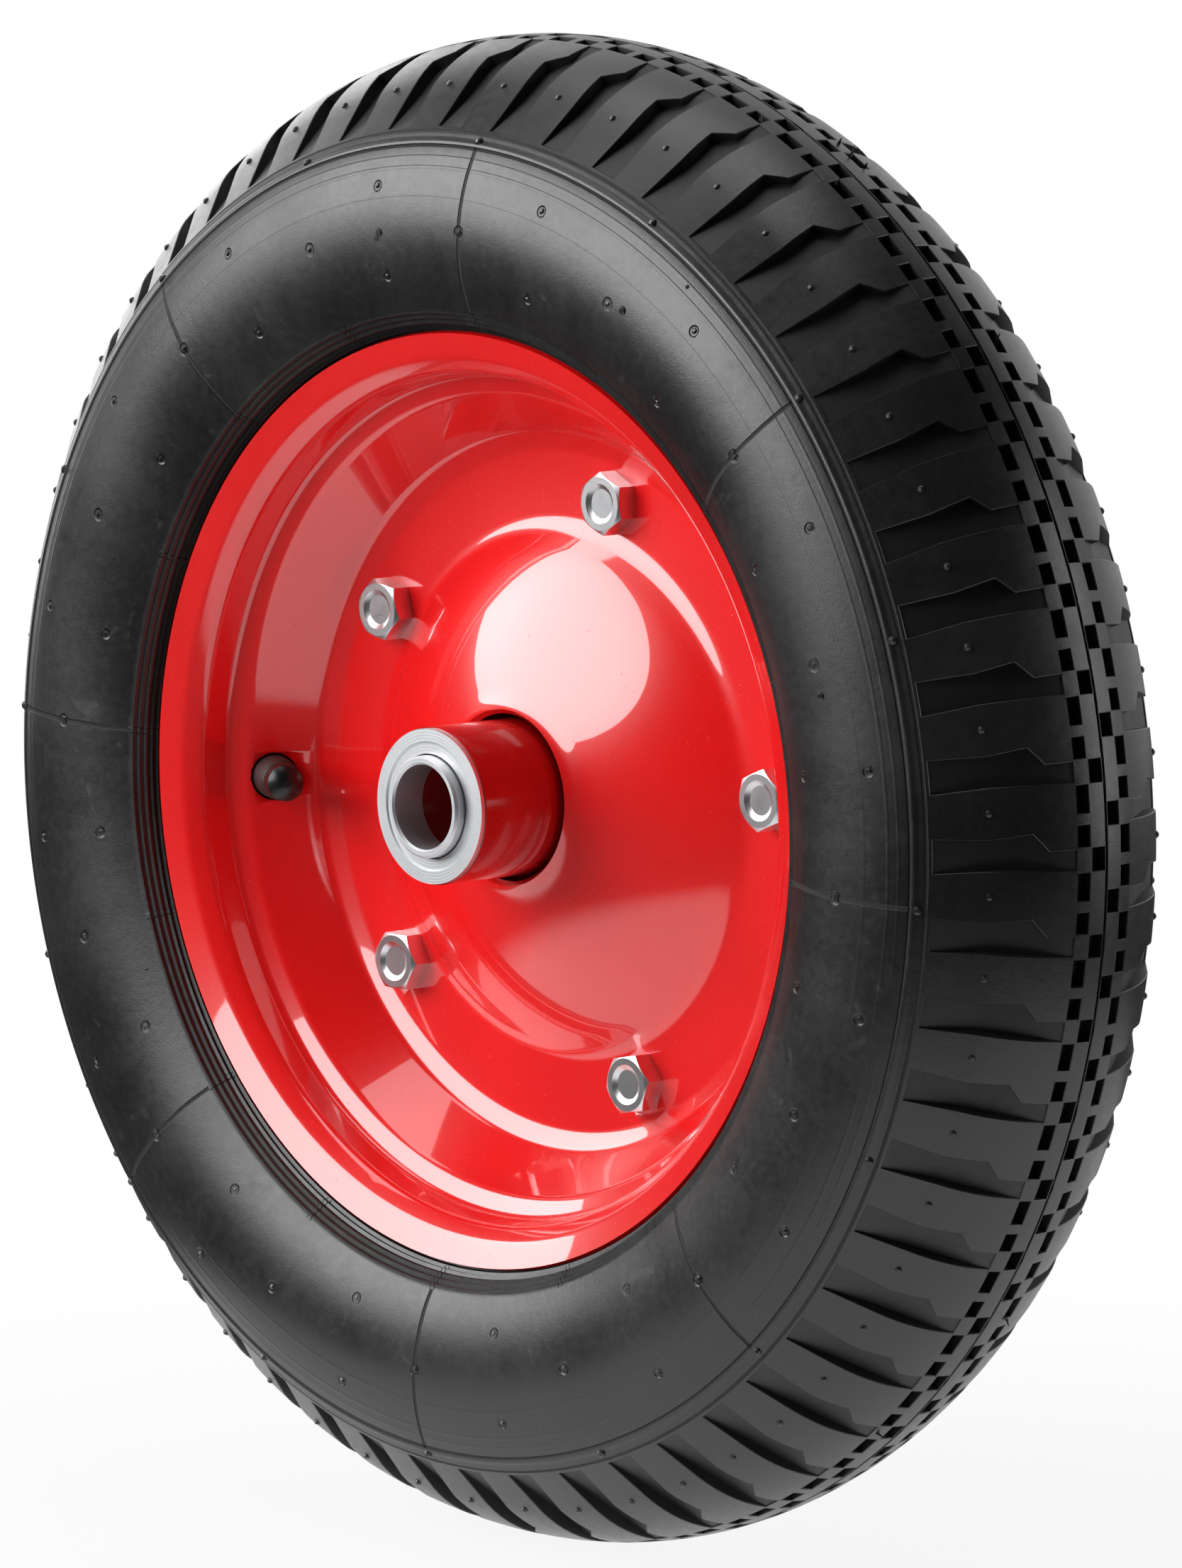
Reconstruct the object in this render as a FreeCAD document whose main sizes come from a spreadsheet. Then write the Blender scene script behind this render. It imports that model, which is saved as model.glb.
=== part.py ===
import FreeCAD, Part
import math
import os
import re
import Sketcher
from FreeCAD import Placement, Rotation, Vector

# Wheelbarrow wheel with a pneumatic tyre, two bolted rim halves and a welded hub tube.
# The wheel turns about Y, stands upright with Z up and has its origin at its centre.
# The front, with the bolt heads and the valve, faces -Y. Lengths are in millimetres.
# Round pieces are drawn as half sections: X is the radius, Y the way out along the axis.

doc = FreeCAD.newDocument("wheelbarrow_wheel")
dims = doc.addObject("Spreadsheet::Sheet", "dims")

SIZES = [
    # tyre
    ("tyre_radius", 178.0, "tyre, outside radius at the crown"),
    ("sidewall_curve", 41.8, "tyre, radius of the sidewall's bulge"),
    ("bulge_rise", 5.8, "tyre, from the rim's edge up to where the bead ribs end and the bulge starts"),
    ("bulge_depth", 37.8, "tyre, that place's way out"),
    ("band_drop", 23.4, "tyre, from the crown down to where the bulge meets the shoulder band"),
    ("band_depth", 37.5, "tyre, that place's way out"),
    ("shoulder_drop", 20.3, "tyre, from the crown down to where the lugs start"),
    ("shoulder_depth", 35.5, "tyre, that place's way out"),
    ("crease_drop", 10.5, "tyre, from the crown down to where the lug flank meets the crown's arc"),
    ("crease_depth", 26.4, "tyre, that place's way out"),
    ("casing_drop", 9.0, "tyre, rubber under the tread"),
    ("casing_top_depth", 14.0, "tyre, half width of the flat under the tread"),
    ("casing_floor_rise", 4.3, "tyre, from the rim's edge up to where the air space starts to bulge"),
    ("casing_floor_depth", 28.5, "tyre, that place's way out"),
    ("casing_side_wall", 6.1, "tyre, wall beside the air space where the bulge is widest"),
    ("casing_turn_drop", 21.0, "tyre, from the crown down to where the air space turns to the tread"),
    ("casing_turn_depth", 29.5, "tyre, that place's way out"),
    # tread
    ("pitch_count", 56, "tread, lugs on each side"),
    ("tread_angle", 0.5, "tread, angle of the first front groove"),
    ("floor_start_depth", 35.0, "tread, way out of the groove's floor at the shoulder"),
    ("floor_end_drop", 1.6, "tread, from the crown down to the groove's floor at its mouth"),
    ("floor_end_depth", 9.8, "tread, that place's way out"),
    ("groove_end_depth", 8.5, "tread, end of the groove beside the centre rib"),
    ("groove_low_width", 2.4, "tread, from a groove's middle to its long straight edge"),
    ("groove_wide_width", 5.5, "tread, from a groove's middle to its stepped edge"),
    ("groove_neck_width", 2.4, "tread, the same past the step"),
    ("step_start_depth", 18.5, "tread, start of the step in that edge"),
    ("step_end_depth", 15.0, "tread, end of the step in that edge"),
    ("groove_tool", 45.0, "tread, height of the block that a groove is cut with"),
    # inner tube
    ("tube_wall", 2.0, "inner tube, thickness"),
    ("tube_gap", 0.4, "inner tube, gap to the tyre"),
    ("well_gap", 3.7, "inner tube, from the well's foot up to the tube"),
    ("well_slope", 1.3, "inner tube, its half width there over the well's foot"),
    ("ledge_gap", 3.6, "inner tube, from the ledge in to where it leaves the well"),
    # rim halves, sizes of the side that shows
    ("sheet", 1.6, "rim, thickness of the pressed sheet"),
    ("rim_radius", 109.7, "rim, outer edge"),
    ("rim_depth", 33.3, "rim, that edge's way out"),
    ("flange_width", 5.9, "rim, from its edge in to the inner end of the flange"),
    ("flange_depth", 31.1, "rim, that place's way out"),
    ("heel_drop", 9.5, "rim, from its edge in to the outer end of the bead seat"),
    ("heel_depth", 27.6, "rim, that place's way out"),
    ("seat_drop", 10.3, "rim, from its edge in to the inner end of the bead seat"),
    ("seat_depth", 20.5, "rim, that place's way out"),
    ("ledge_drop", 14.9, "rim, from its edge in to the foot of the ledge behind the seat"),
    ("ledge_depth", 17.9, "rim, that place's way out"),
    ("foot_drop", 24.4, "rim, from its edge in to the foot of the sloping wall"),
    ("foot_depth", 3.3, "rim, that place's way out"),
    ("plate_half", 8.95, "rim, half width of the flat ring plate that the bolts hold"),
    ("dome_curve", 107.7, "rim, radius of the dome's arc"),
    ("dome_depth", 19.6, "rim, the dome's way out beside the hub hole"),
    ("lip_width", 1.8, "rim, width of the turned lip round the hub hole"),
    ("lip_rise", 1.4, "rim, height of the turned lip"),
    ("front_hole_gap", 2.3, "front half, gap from its hub hole's edge to the hub tube"),
    ("back_hole_gap", 0.1, "back half, gap from its lip to the hub tube"),
    ("weld_leg", 2.6, "weld bead, leg"),
    # hub and bearings
    ("hub_radius", 18.5, "hub tube, outside"),
    ("hub_bore", 16.9, "hub tube, inside"),
    ("hub_half", 43.4, "hub tube, half length"),
    ("shell_inset", 0.3, "bearing shell, from the hub tube's outside in to its flange's edge"),
    ("shell_flange", 1.2, "bearing shell, thickness of the flange"),
    ("shell_gap", 0.02, "bearing shell, gap in the hub tube"),
    ("shell_wall", 1.02, "bearing shell, thickness at the track of the balls"),
    ("shell_length", 8.4, "bearing shell, length in the hub tube"),
    ("dish_inset", 3.0, "bearing shell, from its flange's edge in to the shallow dish in its face"),
    ("dish_cut", 0.4, "bearing shell, depth of that dish"),
    ("mouth_gap", 0.35, "bearing shell, gap round the inner race"),
    ("axle_radius", 10.0, "inner race, bore for the axle"),
    ("race_wall", 2.0, "inner race, thickness of its collar"),
    ("race_track_cut", 0.3, "inner race, depth of the track of the balls"),
    ("race_rise", 3.5, "inner race, length of its collar outside the hub tube"),
    ("race_inside", 5.6, "inner race, length inside the hub tube"),
    ("ball_count", 7, "bearing, balls on each side"),
    ("ball_gap", 0.08, "bearing, gap between a ball and each track"),
    ("ball_depth", 2.9, "bearing, from the hub tube's end to the balls' middle"),
    ("cage_wall", 1.2, "ball retainer, wall"),
    ("cage_edge", 0.4, "ball retainer, material beside a window"),
    ("window_gap", 0.1, "ball retainer, gap round a ball"),
    # fasteners
    ("bolt_count", 5, "rim bolts, count"),
    ("bolt_angle", 3.85, "rim bolts, angle of the first one"),
    ("bolt_drop", 38.05, "rim bolts, from the rim's edge in to their circle"),
    ("bolt_radius", 4.0, "rim bolts, shank"),
    ("bolt_gap", 0.5, "rim bolts, gap in the rim's holes"),
    ("bolt_length", 16.0, "rim bolts, length under the head"),
    ("head_height", 5.3, "rim bolts, head"),
    ("head_flats", 13.0, "rim bolts and nuts, width across flats"),
    ("head_dish_edge", 2.2, "rim bolts, from a flat of the head in to the dish in its face"),
    ("head_dish_cut", 0.6, "rim bolts, depth of that dish"),
    ("nut_height", 6.5, "rim nuts, height"),
    ("nut_gap", 0.06, "rim nuts, gap round the bolt"),
    # valve
    ("valve_angle", 182.7, "valve, its place round the wheel"),
    ("valve_share", 0.64, "valve, its hole's place on the sloping wall, from the foot to the ledge"),
    ("valve_gap", 0.55, "valve, gap in the hole of the front half"),
    ("stem_radius", 5.2, "valve, rubber stem at its foot"),
    ("stem_taper", 0.3, "valve, what the rubber stem loses to its top"),
    ("stem_length", 11.6, "valve, rubber stem past the rim"),
    ("pad_edge", 3.8, "valve, rubber foot past the stem"),
    ("pad_height", 2.6, "valve, thickness of the foot"),
    ("pad_slope", 1.8, "valve, fall of the foot's top to its edge"),
    ("core_radius", 1.9, "valve, core"),
    ("barrel_wall", 0.65, "valve, brass barrel round the core"),
    ("tip_wall", 1.55, "valve, threaded tip round the core"),
    ("tip_length", 7.1, "valve, barrel past the rubber stem"),
    ("core_length", 9.0, "valve, length of the core"),
    ("core_sink", 0.6, "valve, core below the barrel's end"),
    ("pin_radius", 0.6, "valve, pin"),
    ("pin_gap", 0.3, "valve, gap round the pin in the core"),
    ("pin_rise", 0.4, "valve, pin above the core"),
    ("port_radius", 1.2, "valve, air way through the barrel"),
    ("fit_gap", 0.05, "valve, gap round the barrel and the core"),
    ("drill_length", 24.0, "valve, length of the tool that cuts its hole"),
    ("cap_gap", 0.3, "valve cap, gap round the threaded tip"),
    ("cap_wall", 0.55, "valve cap, thickness of its side"),
    ("cap_lift", 0.4, "valve cap, gap between the rubber stem and its open end"),
    ("cap_room", 0.5, "valve cap, room past the end of the barrel"),
    ("cap_top", 1.9, "valve cap, thickness of its round end"),
]

for row, (alias, value, note) in enumerate(SIZES, 1):
    dims.set(f"A{row}", note)
    dims.set(f"B{row}", str(value))
    dims.setAlias(f"B{row}", alias)
doc.recompute()

FORMULAS = {
    "band_radius": "(tyre_radius - band_drop)",
    "shoulder_radius": "(tyre_radius - shoulder_drop)",
    "crease_radius": "(tyre_radius - crease_drop)",
    "casing_radius": "(tyre_radius - casing_drop)",
    "casing_turn_radius": "(tyre_radius - casing_turn_drop)",
    "floor_end_radius": "(tyre_radius - floor_end_drop)",
    "bulge_radius": "(rim_radius + bulge_rise)",
    "casing_floor_radius": "(rim_radius + casing_floor_rise)",
    "casing_side_radius": "((casing_floor_radius + casing_turn_radius) / 2)",
    "bulge_swell": "(sidewall_curve - sqrt(sidewall_curve^2 - ((band_radius - bulge_radius) / 2)^2))",
    "casing_side_depth": "((bulge_depth + band_depth) / 2 + bulge_swell - casing_side_wall)",
    "flange_radius": "(rim_radius - flange_width)",
    "heel_radius": "(rim_radius - heel_drop)",
    "seat_radius": "(rim_radius - seat_drop)",
    "ledge_radius": "(rim_radius - ledge_drop)",
    "foot_radius": "(rim_radius - foot_drop)",
    "bolt_ring": "(rim_radius - bolt_drop)",
    "plate_radius": "(bolt_ring + plate_half)",
    "dome_radius": "(bolt_ring - plate_half)",
    "lip_length": "sqrt(lip_width^2 + lip_rise^2)",
    "lip_reach": "(sheet * lip_rise / lip_length)",
    "lip_drop": "(sheet * lip_width / lip_length)",
    "front_hole": "(hub_radius + front_hole_gap)",
    "back_hole": "(hub_radius + back_hole_gap + lip_reach)",
    "tube_floor_radius": "(foot_radius + well_gap)",
    "tube_floor_depth": "(foot_depth + well_slope)",
    "tube_side_radius": "(ledge_radius + 0.2)",
    "tube_side_depth": "(ledge_depth - ledge_gap)",
    "flange_edge": "(hub_radius - shell_inset)",
    "shell_radius": "(hub_bore - shell_gap)",
    "track_radius": "(shell_radius - shell_wall)",
    "dish_radius": "(flange_edge - dish_inset)",
    "race_radius": "(axle_radius + race_wall)",
    "race_track": "(race_radius - race_track_cut)",
    "mouth_radius": "(race_radius + mouth_gap)",
    "ball_ring": "((track_radius + race_track) / 2)",
    "ball_radius": "((track_radius - race_track) / 2 - ball_gap)",
    "window_radius": "(ball_radius + window_gap)",
    "cage_half": "(window_radius + cage_edge)",
    "cage_radius": "(ball_ring - cage_wall / 2)",
    "bolt_hole_radius": "(bolt_radius + bolt_gap)",
    "nut_bore": "(bolt_radius + nut_gap)",
    "head_dish_radius": "(head_flats / 2 - head_dish_edge)",
    "wall_run": "(ledge_radius - foot_radius)",
    "wall_rise": "(ledge_depth - foot_depth)",
    "valve_radius": "(foot_radius + valve_share * wall_run)",
    "valve_depth": "(foot_depth + valve_share * wall_rise)",
    "valve_lean": "(atan(wall_run / wall_rise) / 1deg)",
    "valve_hole": "(stem_radius + valve_gap)",
    "stem_top_radius": "(stem_radius - stem_taper)",
    "pad_radius": "(stem_radius + pad_edge)",
    "core_space": "(core_radius + fit_gap)",
    "barrel_radius": "(core_space + barrel_wall)",
    "tip_radius": "(core_space + tip_wall)",
    "barrel_top": "(stem_length + tip_length)",
    "core_top": "(barrel_top - core_sink)",
    "core_foot": "(core_top - core_length)",
    "core_bore": "(pin_radius + pin_gap)",
    "cap_bore": "(tip_radius + cap_gap)",
    "cap_radius": "(cap_bore + cap_wall)",
    "cap_start": "(stem_length + cap_lift)",
    "cap_inner_end": "(barrel_top + cap_room)",
    "cap_end": "(cap_inner_end + cap_top)",
}
CELLS = {alias: f"dims.{alias}" for alias, value, note in SIZES}
FRONT = Placement(Vector(), Rotation(Vector(0, 0, 1), 180))
BACK = Placement()


def bound(text):
    # the text with its formulas written out, down to sizes that are read from the sheet
    text = str(text)
    while any(word in FORMULAS for word in re.findall(r"[a-z_]+", text)):
        text = re.sub(r"[a-z_]+", lambda word: FORMULAS.get(word[0], word[0]), text)
    return re.sub(r"[a-z_]+", lambda word: CELLS.get(word[0], word[0]), text)


def number(text):
    value = dims.evalExpression(bound(text))
    return float(getattr(value, "Value", value))


def bind(item, **settings):
    for name, text in settings.items():
        item.setExpression(name, bound(text))


def edge_between(start, end, curve):
    # a straight edge, or an arc with its centre left of the way for a positive radius
    if curve == 0:
        return Part.LineSegment(start, end), 1, 2
    half = (end - start) * 0.5
    across = Vector(-half.y, half.x, 0).normalize()
    rise = math.sqrt(curve**2 - half.Length**2)
    centre = start + half + across * math.copysign(rise, curve)
    first, last = (start, end) if curve > 0 else (end, start)
    turns = [math.atan2(place.y - centre.y, place.x - centre.x) for place in (first, last)]
    if turns[1] < turns[0]:
        turns[1] += 2 * math.pi
    arc = Part.ArcOfCircle(Part.Circle(centre, Vector(0, 0, 1), abs(curve)), *turns)
    return (arc, 1, 2) if curve > 0 else (arc, 2, 1)


def place_corner(sketch, edge, end, axis, text):
    # keeps one corner at its distance from the sketch's origin
    value = number(text)
    if abs(value) < 1e-9:
        line = -2 if axis == "X" else -1
        sketch.addConstraint(Sketcher.Constraint("PointOnObject", edge, end, line))
        return
    ends = (-1, 1, edge, end) if value > 0 else (edge, end, -1, 1)
    index = sketch.addConstraint(Sketcher.Constraint(f"Distance{axis}", *ends, abs(value)))
    sketch.setExpression(f"Constraints[{index}]", bound(text if value > 0 else f"-({text})"))


def draw(sketch, corners, closed=True):
    # a corner is (across, along) or (across, along, radius of the arc to the next corner)
    places = [Vector(number(corner[0]), number(corner[1]), 0) for corner in corners]
    curves = [corner[2] if len(corner) > 2 else "0" for corner in corners]
    count = len(corners) if closed else len(corners) - 1
    ends = []
    for index in range(count):
        after = places[(index + 1) % len(places)]
        shape, first, last = edge_between(places[index], after, number(curves[index]))
        sketch.addGeometry(shape, False)
        ends.append((first, last))
    for index in range(count if closed else count - 1):
        after = (index + 1) % count
        joined = (index, ends[index][1], after, ends[after][0])
        sketch.addConstraint(Sketcher.Constraint("Coincident", *joined))
    for index, corner in enumerate(corners):
        edge, end = (index, ends[index][0]) if index < count else (count - 1, ends[-1][1])
        place_corner(sketch, edge, end, "X", corner[0])
        place_corner(sketch, edge, end, "Y", corner[1])
    for index in range(count):
        if curves[index] != "0":
            size = abs(number(curves[index]))
            arc = sketch.addConstraint(Sketcher.Constraint("Radius", index, size))
            sketch.setExpression(f"Constraints[{arc}]", bound(curves[index].lstrip("-")))


def mirrored(side):
    # the same chain of corners for -Y, drawn the other way round
    curves = ["0"] + [corner[2] if len(corner) > 2 else "0" for corner in side[:-1]]
    return [(across, f"-({along})", curve)
            for (across, along, *rest), curve in zip(reversed(side), reversed(curves))]


def outline(name, corners, closed=True):
    sketch = doc.addObject("Sketcher::SketchObject", name)
    draw(sketch, corners, closed)
    return sketch


def turned(label, corners, place=BACK):
    # a round piece turned from its half section
    body = doc.addObject("PartDesign::Body", label)
    sketch = body.newObject("Sketcher::SketchObject", f"{label}_section")
    plane = [item for item in body.Origin.OriginFeatures if item.Role == "XY_Plane"][0]
    sketch.AttachmentSupport = (plane, [""])
    sketch.MapMode = "FlatFace"
    draw(sketch, corners)
    turn = body.newObject("PartDesign::Revolution", f"{label}_turn")
    turn.Profile = sketch
    turn.ReferenceAxis = (sketch, ["V_Axis"])
    turn.Angle = 360
    body.Placement = place
    return body


def spun(name, source):
    item = doc.addObject("Part::Revolution", name)
    item.Source = source
    item.Axis = Vector(0, 1, 0)
    item.Angle = 360
    item.Solid = True
    return item


def thickened(name, source, thickness):
    item = doc.addObject("Part::Offset2D", name)
    item.Source = source
    item.Mode = "Skin"
    item.Join = "Intersection"
    item.Fill = True
    item.Value = number(thickness)
    bind(item, Value=thickness)
    return item


def extruded(name, source, direction, length):
    item = doc.addObject("Part::Extrusion", name)
    item.Base = source
    item.DirMode = "Custom"
    item.Dir = direction
    item.Solid = True
    item.LengthFwd = number(length)
    bind(item, LengthFwd=length)
    return item


def cylinder(name, radius, height, place=BACK):
    item = doc.addObject("Part::Cylinder", name)
    bind(item, Radius=radius, Height=height)
    item.Placement = place
    return item


def hexagon(name, flats, height, place=BACK):
    item = doc.addObject("Part::Prism", name)
    item.Polygon = 6
    bind(item, Circumradius=f"{flats} / sqrt(3)", Height=height)
    item.Placement = place
    return item


def cut(name, base, tool):
    item = doc.addObject("Part::Cut", name)
    item.Base = base
    item.Tool = tool
    return item


def shared(name, base, tool):
    item = doc.addObject("Part::Common", name)
    item.Base = base
    item.Tool = tool
    return item


def joined(name, pieces):
    item = doc.addObject("Part::MultiFuse", name)
    item.Shapes = pieces
    return item


def mirror_image(name, source):
    item = doc.addObject("Part::Mirroring", name)
    item.Source = source
    item.Normal = Vector(0, 1, 0)
    return item


def ring_of(name, source, first, count):
    # copies of one piece at even angles round the axle
    copies = []
    for index in range(count):
        copy = doc.addObject("App::Link", f"{name}_{index + 1}")
        copy.LinkedObject = source
        turn = Rotation(Vector(0, -1, 0), first + 360 * index / count)
        copy.LinkPlacement = Placement(Vector(), turn) * source.Placement
        copies.append(copy)
    return copies


def grouped(name, copies):
    item = doc.addObject("Part::Compound", name)
    item.Links = copies
    return item


# Tyre

crown_curve = "((tyre_radius - crease_radius)^2 + crease_depth^2) / (2 * (tyre_radius - crease_radius))"
outside = [
    ("seat_radius + sheet + 0.1", "seat_depth - 1.5"),
    ("seat_radius + sheet + 0.1", "seat_depth - 0.1"),
    ("heel_radius + sheet + 0.1", "heel_depth - 0.9"),
    ("flange_radius + 0.9", "flange_depth - 1.6"),
    ("rim_radius + 0.8", "rim_depth - 1.7"),
    ("rim_radius + 2.3", "rim_depth + 1.5"),
    ("bulge_radius", "bulge_depth", "-sidewall_curve"),
    ("band_radius", "band_depth"),
    ("shoulder_radius", "shoulder_depth"),
    ("crease_radius", "crease_depth"),
]
inside = [
    ("casing_radius", "casing_top_depth"),
    ("casing_turn_radius", "casing_turn_depth"),
    ("casing_side_radius", "casing_side_depth"),
    ("casing_floor_radius", "casing_floor_depth"),
]
crown_arc = [("crease_radius", "crease_depth", f"-({crown_curve})")]
casing = mirrored(inside) + inside
carcass = spun("carcass", outline("carcass_section", outside[:-1] + crown_arc + mirrored(outside) + casing))

# Tread: a groove is its outline seen from outside, down to a straight sloping floor.
# Each groove widens towards the shoulder with a step in one edge.

plan = outline("groove_plan", [
    ("-(shoulder_depth + 2)", "groove_wide_width"),
    ("-(shoulder_depth + 2)", "-groove_low_width"),
    ("-groove_end_depth", "-groove_low_width + 0.5"),
    ("-groove_end_depth", "groove_neck_width"),
    ("-step_end_depth", "groove_neck_width"),
    ("-step_start_depth", "groove_wide_width + 0.8"),
])
plan.Placement = Placement(Vector(140, 0, 0), Rotation(Vector(1, 1, 1), 120))
plan.setExpression("Placement.Base.x", bound("tyre_radius + 7 - groove_tool"))
floor = outline("groove_floor", [
    ("shoulder_radius", "-floor_start_depth"),
    ("floor_end_radius", "-floor_end_depth"),
    ("floor_end_radius", "-(groove_end_depth - 1)"),
    ("tyre_radius + 4", "-(groove_end_depth - 1)"),
    ("tyre_radius + 4", "-(shoulder_depth + 6)"),
    ("shoulder_radius - 4", "-(shoulder_depth + 6)"),
])
floor.setExpression("Placement.Base.z", bound("-groove_wide_width * 2"))
groove_walls = extruded("groove_walls", plan, Vector(1, 0, 0), "groove_tool")
groove_space = extruded("groove_space", floor, Vector(0, 0, 1), "groove_wide_width * 4")
groove = shared("groove", groove_walls, groove_space)
mirror_groove = mirror_image("mirror_groove", groove)
doc.recompute()

pitches = int(number("pitch_count"))
start = number("tread_angle")
front_grooves = ring_of("front_grooves", groove, start, pitches)
back_grooves = ring_of("back_grooves", mirror_groove, start + 180 / pitches, pitches)
tyre = cut("tyre", carcass, grouped("grooves", front_grooves + back_grooves))

# Valve place: the middle of its hole on the side of the rim that shows, Y along the stem.

valve_spot = (
    "create(<<placement>>; create(<<vector>>; valve_radius * cos(valve_angle); -valve_depth; "
    "valve_radius * sin(valve_angle)); create(<<rotation>>; create(<<vector>>; 0; -1; 0); valve_angle)"
    " * create(<<rotation>>; create(<<vector>>; 0; 0; 1); 90 + valve_lean))"
)
tool_turn = (" * create(<<placement>>; create(<<vector>>; 0; -drill_length / 2; 0); "
             "create(<<vector>>; 1; 0; 0); -90)")

# Inner tube

tube_side = [
    ("tube_floor_radius", "tube_floor_depth"),
    ("tube_side_radius", "tube_side_depth"),
    ("casing_floor_radius + 0.2", "casing_floor_depth - tube_gap"),
    ("casing_side_radius", "casing_side_depth - tube_gap"),
    ("casing_turn_radius - 0.2", "casing_turn_depth - tube_gap"),
    ("casing_radius - tube_gap", "casing_top_depth - 0.3"),
]
air_side = [
    ("tube_floor_radius + tube_wall", "tube_floor_depth - tube_wall * 0.28"),
    ("tube_side_radius + tube_wall * 0.75", "tube_side_depth - tube_wall * 0.7"),
    ("casing_floor_radius + 0.2 + tube_wall * 0.5", "casing_floor_depth - tube_gap - tube_wall"),
    ("casing_side_radius", "casing_side_depth - tube_gap - tube_wall"),
    ("casing_turn_radius - 0.2 - tube_wall * 0.5", "casing_turn_depth - tube_gap - tube_wall"),
    ("casing_radius - tube_gap - tube_wall", "casing_top_depth - 0.3 - tube_wall * 0.2"),
]
tube_solid = spun("tube_solid", outline("tube_section", tube_side + mirrored(tube_side)))
tube_air = spun("tube_air", outline("air_section", air_side + mirrored(air_side)))
pad_space = cylinder("pad_space", "pad_radius + fit_gap", "drill_length")
bind(pad_space, Placement=valve_spot + tool_turn)
inner_tube = cut("inner_tube", tube_solid, grouped("tube_spaces", [tube_air, pad_space]))

# Rim halves: one line is the side that shows, the sheet lies on the tyre's side of it.


def rim_half(side, name, hole):
    way = "-" if side < 0 else ""
    flat = [
        ("rim_radius", "rim_depth"),
        ("flange_radius", "flange_depth"),
        ("heel_radius", "heel_depth"),
        ("seat_radius", "seat_depth"),
        ("ledge_radius", "ledge_depth"),
        ("foot_radius", "foot_depth"),
        ("plate_radius", "sheet"),
        ("dome_radius", "sheet", "dome_curve"),
        (f"{hole} + lip_width", "dome_depth"),
        (hole, "dome_depth + lip_rise"),
    ]
    chain = []
    for across, along, *curve in flat:
        curve = [("-" if side < 0 else "") + curve[0]] if curve else []
        chain.append((across, f"{way}({along})", *curve))
    line = outline(f"{name}_line", chain, closed=False)
    return spun(f"{name}_sheet", thickened(f"{name}_section", line, "sheet" if side < 0 else "-sheet"))


lying = Rotation(Vector(1, 0, 0), 90)
bolt_hole = cylinder("bolt_hole", "bolt_hole_radius", "sheet * 4")
bolt_hole.Placement = Placement(Vector(number("bolt_ring"), 2 * number("sheet"), 0), lying)
bind(bolt_hole, Placement="create(<<placement>>; create(<<vector>>; bolt_ring; 2 * sheet; 0); "
     "create(<<vector>>; 1; 0; 0); 90)")
valve_hole = cylinder("valve_hole", "valve_hole", "drill_length")
bind(valve_hole, Placement=valve_spot + tool_turn)
doc.recompute()
bolts = int(number("bolt_count"))
bolt_start = number("bolt_angle")
front_holes = ring_of("front_holes", bolt_hole, bolt_start, bolts)
back_holes = ring_of("back_holes", bolt_hole, bolt_start, bolts)
front_tools = grouped("front_tools", front_holes + [valve_hole])
rim_front = cut("rim_front", rim_half(-1, "front_half", "front_hole"), front_tools)
rim_back = cut("rim_back", rim_half(1, "back_half", "back_hole"), grouped("back_tools", back_holes))

# Hub tube with its weld bead on the back half

hub_tube = turned("hub_tube", [
    ("hub_bore", "-hub_half"),
    ("hub_radius", "-hub_half"),
    ("hub_radius", "hub_half"),
    ("hub_bore", "hub_half"),
])
hub_weld = turned("hub_weld", [
    ("hub_radius", "dome_depth + lip_rise - lip_drop"),
    ("back_hole - lip_reach", "dome_depth + lip_rise - lip_drop"),
    ("back_hole", "dome_depth + lip_rise"),
    ("back_hole + lip_width * 0.5", "dome_depth + lip_rise * 0.5"),
    ("hub_radius", "dome_depth + lip_rise + weld_leg"),
])

# Bearings: a pressed shell in each end of the hub tube, balls in their retainer, an inner race

for side, place in (("front", FRONT), ("back", BACK)):
    turned(f"bearing_shell_{side}", [
        ("flange_edge", "hub_half"),
        ("flange_edge", "hub_half + shell_flange"),
        ("dish_radius", "hub_half + shell_flange"),
        ("dish_radius - dish_cut", "hub_half + shell_flange - dish_cut"),
        ("mouth_radius", "hub_half + shell_flange - dish_cut"),
        ("mouth_radius", "hub_half"),
        ("track_radius", "hub_half"),
        ("track_radius", "hub_half - shell_length"),
        ("shell_radius", "hub_half - shell_length"),
        ("shell_radius", "hub_half"),
    ], place)
    turned(f"race_{side}", [
        ("axle_radius", "hub_half - race_inside"),
        ("race_track", "hub_half - race_inside"),
        ("race_track", "hub_half - 0.2"),
        ("race_radius", "hub_half"),
        ("race_radius", "hub_half + race_rise - 0.6"),
        ("race_radius - 0.6", "hub_half + race_rise"),
        ("axle_radius + 0.5", "hub_half + race_rise"),
        ("axle_radius", "hub_half + race_rise - 0.5"),
    ], place)

ball_middle = "hub_half - ball_depth"
bands = [90 - 30 * step for step in range(7)]
ball = spun("ball", outline("ball_section", [
    (f"ball_radius * {math.cos(math.radians(angle)):.5f}" if abs(angle) < 90 else "0",
     f"{ball_middle} + ball_radius * {math.sin(math.radians(angle)):.5f}") for angle in bands]))
bind(ball, Placement="create(<<placement>>; create(<<vector>>; ball_ring; 0; 0); create(<<vector>>; 0; 1; 0); 0)")
window = cylinder("window", "window_radius", "cage_wall * 3")
bind(window, Placement=f"create(<<placement>>; create(<<vector>>; cage_radius - cage_wall; {ball_middle}; 0); "
     "create(<<vector>>; 0; 1; 0); 90)")
cage = spun("cage", outline("cage_section", [
    ("cage_radius", f"{ball_middle} - cage_half"),
    ("cage_radius + cage_wall", f"{ball_middle} - cage_half"),
    ("cage_radius + cage_wall", f"{ball_middle} + cage_half"),
    ("cage_radius", f"{ball_middle} + cage_half"),
]))
doc.recompute()
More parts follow.
